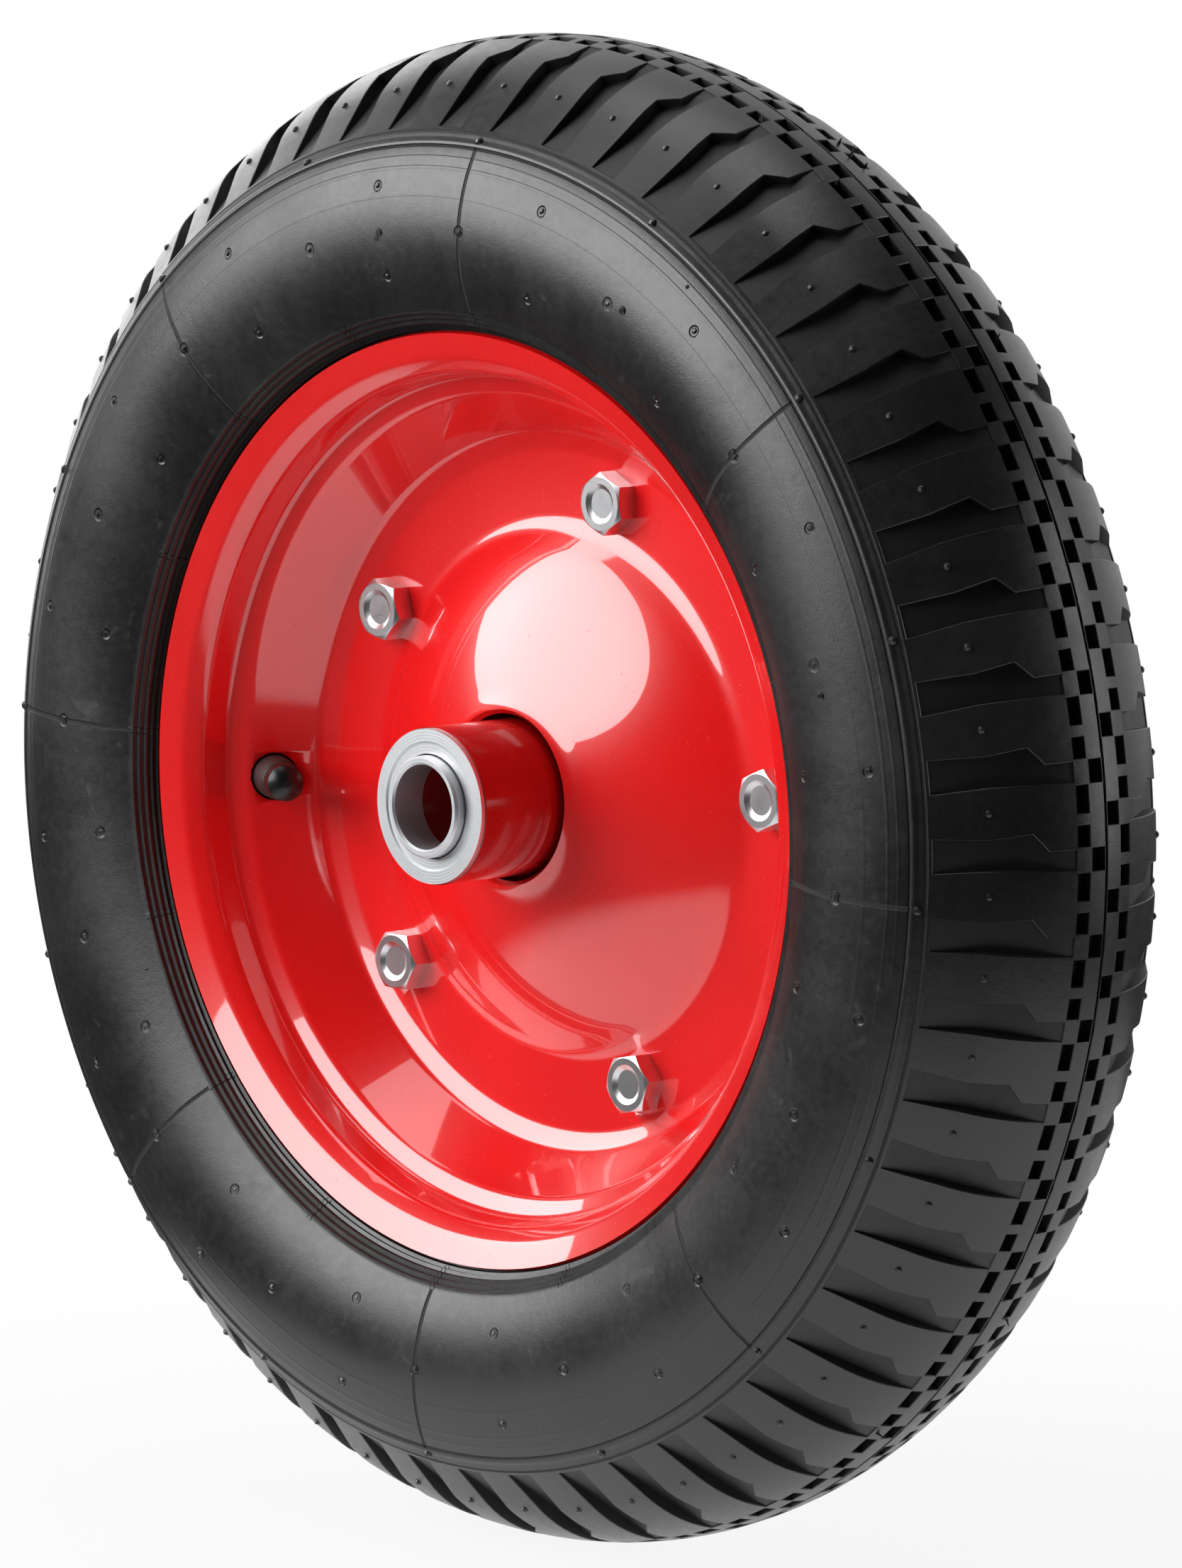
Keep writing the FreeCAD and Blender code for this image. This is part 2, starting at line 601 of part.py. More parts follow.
count = int(number("ball_count"))
windows = grouped("windows", ring_of("window_at", window, 0, count))
back_balls = grouped("back_balls", ring_of("ball_at", ball, 0, count))
back_cage = cut("back_cage", cage, windows)
front_balls = mirror_image("front_balls", back_balls)
front_cage = mirror_image("front_cage", back_cage)
bearing_balls = grouped("bearing_balls", [front_balls, back_balls])
ball_retainers = grouped("ball_retainers", [front_cage, back_cage])

# Rim bolts and nuts: heads on the front half, nuts on the back half


def facing(across, along, turn):
    return (f"create(<<placement>>; create(<<vector>>; {across}; {along}; 0); "
            f"create(<<vector>>; 1; 0; 0); {turn})")


head = hexagon("bolt_head", "head_flats", "head_height")
shank = cylinder("bolt_shank", "bolt_radius", "bolt_length")
dish = cylinder("bolt_dish", "head_dish_radius", "head_dish_cut + 1")
nut_body = hexagon("nut_body", "head_flats", "nut_height")
nut_bore = cylinder("nut_way", "nut_bore", "nut_height + 2")
bind(head, Placement=facing("bolt_ring", "-sheet", 90))
bind(shank, Placement=facing("bolt_ring", "-sheet", -90))
bind(dish, Placement=facing("bolt_ring", "-(sheet + head_height - head_dish_cut)", 90))
bind(nut_body, Placement=facing("bolt_ring", "sheet", -90))
bind(nut_bore, Placement=facing("bolt_ring", "sheet - 1", -90))
bolt = joined("bolt", [cut("dished_head", head, dish), shank])
nut = cut("nut", nut_body, nut_bore)
doc.recompute()
rim_bolts = grouped("rim_bolts", ring_of("bolt_at", bolt, bolt_start, bolts))
rim_nuts = grouped("rim_nuts", ring_of("nut_at", nut, bolt_start, bolts))

# Valve on the inner tube, through the front half of the rim

valve_pieces = [
    turned("valve_rubber", [
        ("barrel_radius + fit_gap", "-(sheet + fit_gap + pad_height)"),
        ("pad_radius", "-(sheet + fit_gap + pad_height)"),
        ("pad_radius", "-(sheet + fit_gap + pad_slope)"),
        ("stem_radius", "-(sheet + fit_gap)"),
        ("stem_top_radius", "stem_length - 0.6"),
        ("stem_top_radius - 0.6", "stem_length"),
        ("barrel_radius + fit_gap", "stem_length"),
    ]),
    turned("valve_body", [
        ("port_radius", "-(sheet + pad_height + 1)"),
        ("barrel_radius", "-(sheet + pad_height + 1)"),
        ("barrel_radius", "stem_length + 0.3"),
        ("tip_radius", "stem_length + 0.9"),
        ("tip_radius", "barrel_top - 0.4"),
        ("tip_radius - 0.4", "barrel_top"),
        ("core_space", "barrel_top"),
        ("core_space", "core_foot"),
        ("port_radius", "core_foot - 1"),
    ]),
    turned("valve_core", [
        ("core_bore", "core_foot + 0.1"),
        ("core_radius", "core_foot + 0.1"),
        ("core_radius", "core_top"),
        ("core_bore", "core_top"),
    ]),
    turned("valve_pin", [
        ("0", "core_foot - 1.4"),
        ("pin_radius", "core_foot - 1.4"),
        ("pin_radius", "core_top + pin_rise"),
        ("0", "core_top + pin_rise"),
    ]),
    turned("valve_cap", [
        ("cap_bore", "cap_start"),
        ("cap_radius", "cap_start"),
        ("cap_radius", "cap_inner_end - 0.1", "cap_radius + 1.4"),
        ("cap_radius * 0.2", "cap_end"),
        ("0", "cap_end"),
        ("0", "cap_inner_end"),
        ("cap_bore", "cap_inner_end"),
    ]),
]
for piece in valve_pieces:
    bind(piece, Placement=valve_spot)

doc.recompute()

NODES = [
    "tyre", "inner_tube", "rim_front", "rim_back", "hub_tube", "hub_weld",
    "bearing_shell_front", "bearing_shell_back", "race_front", "race_back",
    "ball_retainers", "bearing_balls", "rim_bolts", "rim_nuts",
    "valve_rubber", "valve_body", "valve_core", "valve_pin", "valve_cap",
]

for item in doc.Objects:
    if "Invalid" in item.State or "Error" in item.State:
        raise RuntimeError(f"{item.Name} does not compute")

os.makedirs("parts", exist_ok=True)
for name in NODES:
    node = doc.getObject(name)
    node.Label = name
    if node.Shape.isNull() or not node.Shape.isValid() or not node.Shape.Solids:
        raise RuntimeError(f"{name} is not a sound solid")
    node.Shape.exportStep(f"parts/{name}.step")
    print(name, len(node.Shape.Solids), round(node.Shape.Volume / 1000, 2), "cm3")
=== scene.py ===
import math

import bmesh
import bpy
from mathutils import Matrix, Vector, geometry


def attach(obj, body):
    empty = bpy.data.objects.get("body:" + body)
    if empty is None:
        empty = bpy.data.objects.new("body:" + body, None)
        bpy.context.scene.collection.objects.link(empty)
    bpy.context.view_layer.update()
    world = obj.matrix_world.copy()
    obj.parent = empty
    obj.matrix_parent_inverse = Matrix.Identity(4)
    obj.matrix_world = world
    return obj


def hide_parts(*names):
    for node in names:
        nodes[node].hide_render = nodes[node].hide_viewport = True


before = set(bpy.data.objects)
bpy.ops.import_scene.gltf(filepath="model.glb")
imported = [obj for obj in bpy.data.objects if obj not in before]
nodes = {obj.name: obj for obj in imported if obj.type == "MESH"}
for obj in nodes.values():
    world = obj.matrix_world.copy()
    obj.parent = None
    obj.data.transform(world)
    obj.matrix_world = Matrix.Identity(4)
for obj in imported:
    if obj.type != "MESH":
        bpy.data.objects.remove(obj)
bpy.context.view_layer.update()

mm = 0.001
scene = bpy.context.scene


# node trees: one class for the arithmetic, one method for every node


class Flow:
    def __init__(self, maker, socket):
        self.maker, self.socket = maker, socket

    def math(self, operation, *others):
        return self.maker.node("Math", {"operation": operation}, [self, *others])

    def __add__(self, other): return self.math("ADD", other)
    def __radd__(self, other): return self.math("ADD", other)
    def __sub__(self, other): return self.math("SUBTRACT", other)
    def __mul__(self, other): return self.math("MULTIPLY", other)
    def __rmul__(self, other): return self.math("MULTIPLY", other)
    def __truediv__(self, other): return self.math("DIVIDE", other)
    def __pow__(self, other): return self.math("POWER", other)
    def __gt__(self, other): return self.math("GREATER_THAN", other)
    def __lt__(self, other): return self.math("LESS_THAN", other)
    def __neg__(self): return self.math("MULTIPLY", -1.0)
    def __abs__(self): return self.math("ABSOLUTE")

    def __rsub__(self, other):
        return self.maker.node("Math", {"operation": "SUBTRACT"}, [other, self])

    def __rtruediv__(self, other):
        return self.maker.node("Math", {"operation": "DIVIDE"}, [other, self])

    def larger(self, other):
        return self.math("MAXIMUM", other)

    def ramp(self, low, high, start=0.0, end=1.0):
        return self.maker.node("MapRange", {"interpolation_type": "SMOOTHSTEP"}, [self, low, high, start, end])


class Maker:
    # builds nodes in a shader or a geometry tree
    def __init__(self, tree):
        self.tree = tree
        self.kind = "ShaderNode" if tree.bl_idname == "ShaderNodeTree" else "GeometryNode"

    def node(self, kind, settings=None, sockets=None, out=0):
        shared = ("Math", "MapRange", "VectorMath", "Mix", "CombineXYZ", "SeparateXYZ")
        made = self.tree.nodes.new(("ShaderNode" if kind in shared else self.kind) + kind)
        for name, value in (settings or {}).items():
            setattr(made, name, value)
        pairs = sockets.items() if isinstance(sockets, dict) else enumerate(sockets or [])
        for key, value in pairs:
            if isinstance(value, Flow):
                self.tree.links.new(value.socket, made.inputs[key])
            elif value is not None:
                made.inputs[key].default_value = value
        return Flow(self, made.outputs[out]) if len(made.outputs) else made

    def mix(self, factor, first, second):
        return self.node("Mix", {"data_type": "RGBA"}, {0: factor, 6: first, 7: second}, out=2)

    def measure(self, operation, first, second):
        # a number from two vectors
        return self.node("VectorMath", {"operation": operation}, [first, second], out="Value")

    def rays(self):
        # masks for camera, glossy and transmission rays
        seen = self.node("LightPath", out="Is Camera Ray")
        outputs = seen.socket.node.outputs
        return seen, Flow(self, outputs["Is Glossy Ray"]), Flow(self, outputs["Is Transmission Ray"])


def tint(red, green, blue):
    return (red, green, blue, 1.0)


class Finish(Maker):
    # one material with its Principled shader
    def __init__(self, name, **fixed):
        self.material = bpy.data.materials.new(name)
        self.material.use_nodes = True
        super().__init__(self.material.node_tree)
        self.tree.nodes.clear()
        self.shader = self.tree.nodes.new("ShaderNodeBsdfPrincipled")
        output = self.tree.nodes.new("ShaderNodeOutputMaterial")
        self.tree.links.new(self.shader.outputs[0], output.inputs[0])
        for key, value in fixed.items():
            self.shader.inputs[key.replace("_", " ")].default_value = value
        self.place = self.node("TexCoord", out="Object")

    def feed(self, **flows):
        for key, flow in flows.items():
            self.tree.links.new(flow.socket, self.shader.inputs[key.replace("_", " ")])

    def noise(self, size, detail=4.0, roughness=0.5, place=None, lean=0.0):
        # size is the pattern's scale in millimetres
        return self.node("TexNoise", {}, {"Vector": place or self.place, "Scale": 1000.0 / size, "Detail": detail,
                                          "Roughness": roughness, "Distortion": lean})

    def bump(self, height, depth, under=None):
        # depth is in millimetres
        return self.node("Bump", {}, {"Strength": 1.0, "Distance": depth * mm, "Height": height, "Normal": under})

    def polar(self):
        # radius in millimetres, angle in degrees round the axle from +X towards +Z, and place along it
        parts = self.node("SeparateXYZ", {}, [self.place], out="X")
        x, y, z = (Flow(self, parts.socket.node.outputs[axis]) for axis in "XYZ")
        radius = ((x * x + z * z) ** 0.5) * 1000.0
        angle = z.math("ARCTAN2", x) * (180.0 / math.pi)
        return radius, angle, y * 1000.0


def near(flow, width, soft):
    # 1 where the flow is within the width of zero, with a soft edge
    return abs(flow).ramp(width, width + soft, 1.0, 0.0)


def every(angle, count, first):
    # degrees from the nearest of 'count' places round the wheel
    step = 360.0 / count
    return (angle - first + 720.0 + step / 2).math("MODULO", step) - step / 2


# finishes; lengths are in millimetres and turns in degrees

rubberMix = {
    "dark": tint(0.007, 0.007, 0.0074), "light": tint(0.018, 0.018, 0.0188), "dust": tint(0.07, 0.068, 0.066),
    "pitShade": tint(0.0025, 0.0025, 0.0026), "roughness": 0.27, "side": (134.0, 17.0),
    "seams": 8, "seamTurn": 41.6, "seamWidth": 0.3, "seamReach": (115.8, 154.2),
    "ticks": 16, "tickWidth": 0.5, "tickReach": (110.8, 115.9),
    "pipTurn": 8.5, "pipRings": (124.0, 145.0), "pipMoat": 1.0, "bigPipRing": 134.6, "bigPipMoat": 1.2,
    # radius, width and height of each faint ring
    "rings": [(148.8, 0.20, 0.12), (151.2, 0.15, 0.1), (142.6, 0.3, 0.06)],
    "bead": (113.0, 2.2), "bandLines": (153.75, 157.05), "bandLineWidth": 0.18,
    # the tread's outline, and the share of each way in the depth under its flank
    "crown": (139.56, 38.44), "crease": (167.5, 26.4), "flankShares": (0.6805, 0.7328), "treadEdge": 157.4,
}


def tyreRubber():
    mix = rubberMix
    f = Finish("tyre_rubber", IOR=1.62)
    radius, angle, out = f.polar()
    turned = f.node("CombineXYZ", {}, [radius * 0.012, angle * 0.09, out * 0.012])
    broad = f.noise(70, 3.0)
    streak = f.noise(1000, 4.0, 0.55, turned)
    fine = f.noise(2.2, 6.0, 0.62)
    grain = f.noise(0.45, 3.0, 0.6)
    bloom = (broad * 0.45 + streak * 0.35 + fine * 0.2).ramp(0.36, 0.66)
    sideMiddle, sideReach = mix["side"]
    side = near(radius - sideMiddle, sideReach, 6.0)
    shade = f.mix(bloom, mix["dark"], mix["light"])
    scuff = f.noise(9, 6.0, 0.68, None, 0.6).ramp(0.60, 0.74)
    shade = f.mix(side * scuff * 0.30, shade, mix["dust"])

    # moulding seams down the side, a little wavy, and short ticks on the bead
    perDegree = radius * (math.pi / 180.0)
    wave = (f.noise(9, 2.0) - 0.5) * 0.5
    low, high = mix["seamReach"]
    seamArc = every(angle, mix["seams"], mix["seamTurn"]) * perDegree
    seam = near(seamArc + wave, mix["seamWidth"], 0.3) * (radius > low) * (radius < high)
    low, high = mix["tickReach"]
    tickArc = every(angle, mix["ticks"], mix["seamTurn"]) * perDegree
    tick = near(tickArc, mix["tickWidth"], 0.3) * (radius > low) * (radius < high)
    rings = 0.0
    for place, width, height in mix["rings"]:
        rings = near(radius - place, width, 0.3) * height + rings

    # painted shade in a moat round each pip, over the ribs of the bead, and in two sunk lines at the band
    pipArc = every(angle, mix["ticks"], mix["pipTurn"]) * perDegree
    moat = near((tickArc * tickArc + (radius - mix["bigPipRing"]) ** 2.0) ** 0.5, mix["bigPipMoat"], 0.5)
    for place in mix["pipRings"]:
        moat = moat.larger(near((pipArc * pipArc + (radius - place) ** 2.0) ** 0.5, mix["pipMoat"], 0.5))
    beadMiddle, beadReach = mix["bead"]
    bead = near(radius - beadMiddle, beadReach, 0.5)
    lines = 0.0
    for place in mix["bandLines"]:
        lines = near(radius - place, mix["bandLineWidth"], 0.22) + lines

    # depth under the tread's outline: the grooves' floors get painted shade and are duller than the lugs
    across = abs(out)
    crownMiddle, crownCurve = mix["crown"]
    crownDepth = crownCurve - ((radius - crownMiddle) ** 2.0 + across * across) ** 0.5
    (creaseRadius, creaseOut), (upShare, outShare) = mix["crease"], mix["flankShares"]
    flankDepth = (creaseRadius - radius) * upShare + (creaseOut - across) * outShare
    flank = across > creaseOut
    depth = flankDepth * flank + crownDepth * (1.0 - flank)
    sunk = depth.ramp(0.14, 0.32) * (radius > mix["treadEdge"])

    # painted shade: the seams, the pip moats, the bead, the band lines and the groove floors take the dark pit
    # colour
    paintedShade = (seam * 0.95).larger(moat * 0.9).larger(bead * 0.7).larger(lines * 0.9).larger(sunk * 0.8)
    shade = f.mix(paintedShade, shade, mix["pitShade"])
    height = f.bump(fine, 0.04)
    height = f.bump(grain, 0.03, height)
    height = f.bump(tick + rings - seam * 1.2 - moat * 0.6 - lines, 0.45, height)
    dull = (seam + lines).larger(sunk * 0.5)
    f.feed(Base_Color=shade, Normal=height,
           Roughness=mix["roughness"] + bloom * 0.12 + fine * 0.08 + scuff * side * 0.1 + dull * 0.4)
    return f.material


paintMix = {"colour": tint(0.93, 0.007, 0.008), "deep": tint(0.82, 0.005, 0.006), "roughness": 0.22,
            "coatRoughness": 0.03, "coatIor": 1.7}


def redPaint(name="red_paint", ripples=0, share=1.0):
    # share darkens the colour, for a copy with painted shade; ripples is the count of a weld's scales in a radian
    f = Finish(name, IOR=1.5, Coat_Roughness=paintMix["coatRoughness"], Coat_IOR=paintMix["coatIor"])
    cloud = f.noise(60, 3.0)
    peel = f.noise(2.6, 2.0, 0.45)
    dust = f.noise(0.9, 2.0).ramp(0.70, 0.76)
    tones = [tint(*(v * share for v in paintMix[key][:3])) for key in ("deep", "colour")]
    shade = f.mix(cloud.ramp(0.3, 0.75), *tones)
    height = f.bump(peel, 0.012)
    height = f.bump(dust, 0.02, height)
    if ripples:
        # the scales of a weld bead, a little uneven
        angle = f.polar()[1]
        scale = (angle * (ripples * math.pi / 180.0) + f.noise(6, 2.0) * 2.5).math("SINE")
        height = f.bump(scale * 0.5 + 0.5, 0.35, height)
    f.feed(Base_Color=shade, Roughness=paintMix["roughness"] + cloud * 0.08 + dust * 0.15,
           Coat_Weight=1.0 - dust * 0.4, Normal=height)
    return f.material


def plainMetal(name, colour, roughness, scratch=0.5, turnedLines=0.0):
    f = Finish(name, Metallic=1.0)
    cloud = f.noise(7, 4.0)
    fine = f.noise(0.7, 5.0, 0.65)
    shade = f.mix(cloud.ramp(0.3, 0.8) * 0.5, colour, tint(*(v * 0.72 for v in colour[:3])))
    height = f.bump(fine, 0.015 * scratch)
    if turnedLines:
        # fine rings left by the lathe
        radius = f.polar()[0]
        lines = (radius * 9.0 + cloud * 1.5).math("SINE") * 0.5 + 0.5
        height = f.bump(lines, 0.006 * turnedLines, height)
    f.feed(Base_Color=shade, Roughness=roughness + cloud * 0.12 + fine * 0.08, Normal=height)
    return f.material


stem = {"way": (0.837251, -0.545392, 0.039484), "ribPitch": 1.5, "ribHeight": 0.45,
        "groove": tint(0.006, 0.005, 0.005)}


def plainRubber(name, dark, light, roughness, ribbed=False):
    f = Finish(name, IOR=1.5)
    fine = f.noise(1.6, 5.0)
    shade = f.mix(fine.ramp(0.3, 0.75), dark, light)
    height = f.bump(f.noise(0.5, 4.0), 0.03)
    if ribbed:
        # moulded rings round the valve's stem, along its own axis, with painted shade in the grooves between them
        along = f.measure("DOT_PRODUCT", f.place, stem["way"])
        rib = (along * (2 * math.pi / (stem["ribPitch"] * mm))).math("SINE") * 0.5 + 0.5
        shade = f.mix(rib.ramp(0.35, 0.0) * 0.7, shade, stem["groove"])
        height = f.bump(rib, stem["ribHeight"], height)
    f.feed(Base_Color=shade, Roughness=roughness + fine * 0.12, Normal=height)
    return f.material


rubber = tyreRubber()
paint = redPaint()
weldPaint = redPaint("weld_paint", 58)
# the hub tube's paint is a darker copy of the red: painted shade
shadedTubePaint = redPaint("shaded_tube_paint", 0, 0.45)
zinc = plainMetal("bright_zinc", tint(0.80, 0.81, 0.83), 0.20, 0.8)
satinSteel = plainMetal("satin_steel", tint(0.76, 0.77, 0.79), 0.38, 0.8, 1.0)
ballSteel = plainMetal("ball_steel", tint(0.75, 0.76, 0.78), 0.10, 0.2)
brass = plainMetal("satin_brass", tint(0.72, 0.52, 0.24), 0.28, 0.6)
tubeRubber = plainRubber("tube_rubber", tint(0.012, 0.012, 0.013), tint(0.03, 0.03, 0.032), 0.55)
stemRubber = plainRubber("stem_rubber", tint(0.030, 0.014, 0.011), tint(0.060, 0.028, 0.022), 0.5, ribbed=True)
capPlastic = plainRubber("cap_plastic", tint(0.004, 0.004, 0.005), tint(0.009, 0.009, 0.01), 0.26)
print("materials ready")


# mesh helpers


def addPiece(name, mesh, body, material, slot, *standsFor):
    piece = bpy.data.objects.new(name, mesh)
    scene.collection.objects.link(piece)
    mesh.materials.clear()
    mesh.materials.append(material)
    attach(piece, body)
    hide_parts(*standsFor)
    return piece


def around(radius, out, degrees):
    turn = math.radians(degrees)
    return Vector((radius * math.cos(turn), out, radius * math.sin(turn))) * mm


def turned(degrees, axis):
    return Matrix.Rotation(math.radians(degrees), 3, axis)


def plainMesh(work, name):
    # the bmesh's faces as a mesh of their own
    mesh = bpy.data.meshes.new(name)
    work.to_mesh(mesh)
    work.free()
    return mesh


def lathe(work, line, steps, start=0.0, closed=False):
    # sweeps (radius, out) points round the axle into an open bmesh
    rings = [[work.verts.new(around(radius, out, start + 360 * step / steps)) for step in range(steps)]
             for radius, out in line]
    bridge(work, rings + rings[:1] if closed else rings)


def bridge(work, rings):
    # faces between rings of as many corners each
    for low, high in zip(rings, rings[1:]):
        for index in range(len(low)):
            after = (index + 1) % len(low)
            work.faces.new([low[index], low[after], high[after], high[index]])


def rounded(corners, fineness):
    # (radius, out, bend) corners to a smooth line; each bend takes one point per 'fineness' degrees
    line = []
    for index, (radius, out, bend) in enumerate(corners):
        here = Vector((radius, out))
        if bend == 0 or index in (0, len(corners) - 1):
            line.append((radius, out))
            continue
        before = (Vector(corners[index - 1][:2]) - here).normalized()
        after = (Vector(corners[index + 1][:2]) - here).normalized()
        half = before.angle(after) / 2
        reach = bend / math.tan(half)
        middle = here + (before + after).normalized() * (bend / math.sin(half))
        first, last = here + before * reach - middle, here + after * reach - middle
        sweep = first.angle_signed(last)
        count = max(2, round(abs(math.degrees(sweep)) / fineness))
        for step in range(count + 1):
            spot = middle + Matrix.Rotation(-sweep * step / count, 2) @ first
            line.append((spot.x, spot.y))
    return line


def offsetLine(line, distance):
    # the line moved sideways, to the right of its way for a positive distance
    moved = []
    for index, (radius, out) in enumerate(line):
        before = Vector(line[max(index - 1, 0)])
        after = Vector(line[min(index + 1, len(line) - 1)])
        way = (after - before).normalized()
        moved.append((radius + way.y * distance, out - way.x * distance))
    return moved


def finishMesh(work, name, merge, sharp):
    # faces outwards and smooth, with edges sharper than 'sharp' degrees kept
    if merge:
        bmesh.ops.remove_doubles(work, verts=work.verts, dist=merge * mm)
    bmesh.ops.recalc_face_normals(work, faces=work.faces)
    for face in work.faces:
        face.smooth = True
    for edge in work.edges:
        if len(edge.link_faces) == 2 and edge.calc_face_angle(0) > math.radians(sharp):
            edge.smooth = False
    return plainMesh(work, name)


def evaluated(piece):
    # the piece's mesh with its modifiers applied
    seen = piece.evaluated_get(bpy.context.evaluated_depsgraph_get())
    return bpy.data.meshes.new_from_object(seen)


# repeated pieces: copies of one mesh at even angles round the axle


def ringTree(name):
    tree = bpy.data.node_groups.new(name, "GeometryNodeTree")
    face = tree.interface
    face.new_socket("Geometry", in_out="INPUT", socket_type="NodeSocketGeometry")
    for label, kind in (("Copies", "Int"), ("First Angle", "Float"), ("Finish", "Material")):
        face.new_socket(label, in_out="INPUT", socket_type=f"NodeSocket{kind}")
    face.new_socket("Geometry", in_out="OUTPUT", socket_type="NodeSocketGeometry")
    m = Maker(tree)
    given = tree.nodes.new("NodeGroupInput")
    inputs = {socket.name: Flow(m, socket) for socket in given.outputs if socket.name}
    count = inputs["Copies"]
    spots = m.node("MeshLine", {"mode": "OFFSET"}, {"Count": count, "Offset": (0, 0, 0)})
    index = m.node("InputIndex")
    turn = -(inputs["First Angle"] + index * (360.0 / count)) * (math.pi / 180.0)
    copies = m.node("InstanceOnPoints", {}, {"Points": spots, "Instance": inputs["Geometry"],
                                             "Rotation": m.node("CombineXYZ", {}, {"Y": turn})})
    real = m.node("RealizeInstances", {}, [copies])
    done = m.node("SetMaterial", {}, {"Geometry": real, "Material": inputs["Finish"]})
    result = tree.nodes.new("NodeGroupOutput")
    tree.links.new(done.socket, result.inputs[0])
    return tree


ringOf = ringTree("ring_of_copies")


def ringMesh(name, mesh, copies, firstAngle, finish):
    # runs the tree on one mesh and keeps the result as a plain mesh
    source = bpy.data.objects.new(name + "_source", mesh)
    scene.collection.objects.link(source)
    modifier = source.modifiers.new("ring", "NODES")
    modifier.node_group = ringOf
    values = {"Copies": copies, "First Angle": float(firstAngle), "Finish": finish}
    for item in ringOf.interface.items_tree:
        if item.in_out == "INPUT" and item.name in values:
            modifier[item.identifier] = values[item.name]
    result = evaluated(source)
    result.name = name
    bpy.data.objects.remove(source)
    return result


# tyre; corners of the tread are (degrees, out) and those of the side (radius, out)

tyre = {
    "crownMiddle": 139.56, "crownCurve": 38.44, "creaseOut": 26.4, "crease": (167.5, 26.4),
    "shoulder": (157.7, 35.5), "pitches": 56, "firstGroove": 0.5, "columns": 8, "cellStart": -3.4286,
    "flatRadius": 175.0, "rounding": 0.28, "sharp": 32.0,
    "floorLine": ((157.7, 35.0), (176.4, 9.8)), "leastDepth": 0.34,
    "groove": [(-0.83, 35.15), (-0.58, 26.4), (-0.68, 8.5), (0.78, 8.5), (0.78, 15.0), (2.15, 18.5), (1.8, 26.4),
               (1.95, 35.15)],
    "slots": [[(0.98, 4.9), (2.55, 4.9), (2.55, 8.1), (0.98, 8.1)],
              [(-3.0, 4.9), (-0.95, 4.9), (-0.95, 8.1), (-3.0, 8.1)]],
    "notch": [(-0.85, 0.5), (0.85, 0.5), (0.85, 4.2), (-0.85, 4.2)],
    "slotDepth": 3.4, "notchDepth": 3.2, "splitWidth": 0.28, "splitDepth": 0.7,
    # how far along the outline the cell's cross lines lie, up to the crease and past it
    "crownRows": [2.4, 4.5, 6.5, 8.4, 11.5, 14.5, 17.5, 20.5, 23.5, 26.5], "flankRows": [33.5, 38.0],
    # the side, from the shoulder down to the bead
    "band": [(157.2, 35.95), (156.0, 36.75), (155.35, 37.1), (155.05, 37.55), (154.6, 37.85), (154.1, 37.95),
             (153.7, 37.85)],
    "sideMiddle": (134.77, 0.70), "sideCurve": 41.8, "sideReach": (153.0, 116.0), "sideSteps": 14,
    "beadFoot": [(115.5, 37.8), (112.3, 35.0), (110.7, 32.2)], "ribs": 5, "ribHeight": 0.5, "ribSteps": 4,
    # the toe of the bead, then the wall of the air space
    "toe": [(110.5, 31.65), (107.6, 30.6), (104.7, 29.45), (103.2, 28.1), (101.95, 26.75), (101.4, 23.5),
            (101.1, 20.5), (101.3, 19.2)],
    "airSpace": [(102.3, 19.3), (114.0, 28.5), (124.0, 34.0), (135.0, 36.4), (147.0, 34.2), (157.0, 29.5),
                 (164.5, 22.0), (169.0, 14.0)],
    # radius, out, size and angle past the groove of the vent on each lug
    "lugVent": (167.3, 26.2, 0.95, 3.9),
    # radius, out, size, copies and first angle of each ring of pips; then single scars at radius, out, size, angle
    "pips": [(155.4, 36.9, 1.15, 16, 41.6), (145.0, 40.6, 1.05, 16, 8.5), (124.0, 40.4, 0.95, 16, 8.5),
             (134.6, 41.9, 1.0, 16, 64.1), (134.6, 41.8, 1.35, 8, 41.6)],
    "scars": [(134.2, 41.9, 1.3, 98.4), (133.0, 41.9, 1.0, 98.9), (135.8, 41.9, 1.3, 62.0), (134.6, 41.9, 1.3, 16.1),
              (127.0, 41.2, 0.8, 98.6), (150.5, 39.2, 0.6, 57.0), (119.0, 39.0, 0.6, 205.0)],
    # angle, place across, height and lean of each whisker left on the crown
    "whiskers": [(62.0, 7.0, 2.6, 20), (60.2, 6.0, 3.0, -14), (58.9, 7.4, 2.2, 24), (66.0, -7.2, 2.0, -18),
                 (57.0, -6.5, 2.4, 12), (40.5, 7.1, 1.8, -22), (31.0, 6.8, 2.0, 16), (-38.0, 7.0, 2.2, 15),
                 (-51.0, -6.8, 2.4, -20), (128.0, 7.0, 2.3, 18), (217.0, -7.0, 2.2, -16), (239.0, 6.9, 2.0, 14)],
    "whiskerRoot": 0.45, "whiskerTip": 0.08, "whiskerSunk": 0.3,
}
crownReach = tyre["crownCurve"] * math.asin(tyre["creaseOut"] / tyre["crownCurve"])
flankWay = (Vector(tyre["shoulder"]) - Vector(tyre["crease"])).normalized()
pitch = 360 / tyre["pitches"]


def alongTread(out):
    # how far along the tread's outline a place lies that is 'out' from the middle
    if out <= tyre["creaseOut"]:
        return tyre["crownCurve"] * math.asin(out / tyre["crownCurve"])
    return crownReach + (out - tyre["creaseOut"]) / flankWay.y


def treadPoint(along):
    # place and outward direction on the tread's outline
    if along <= crownReach:
        turn = along / tyre["crownCurve"]
        out = Vector((math.cos(turn), math.sin(turn)))
        return Vector((tyre["crownMiddle"], 0)) + out * tyre["crownCurve"], out
    return Vector(tyre["crease"]) + flankWay * (along - crownReach), Vector((flankWay.y, -flankWay.x))


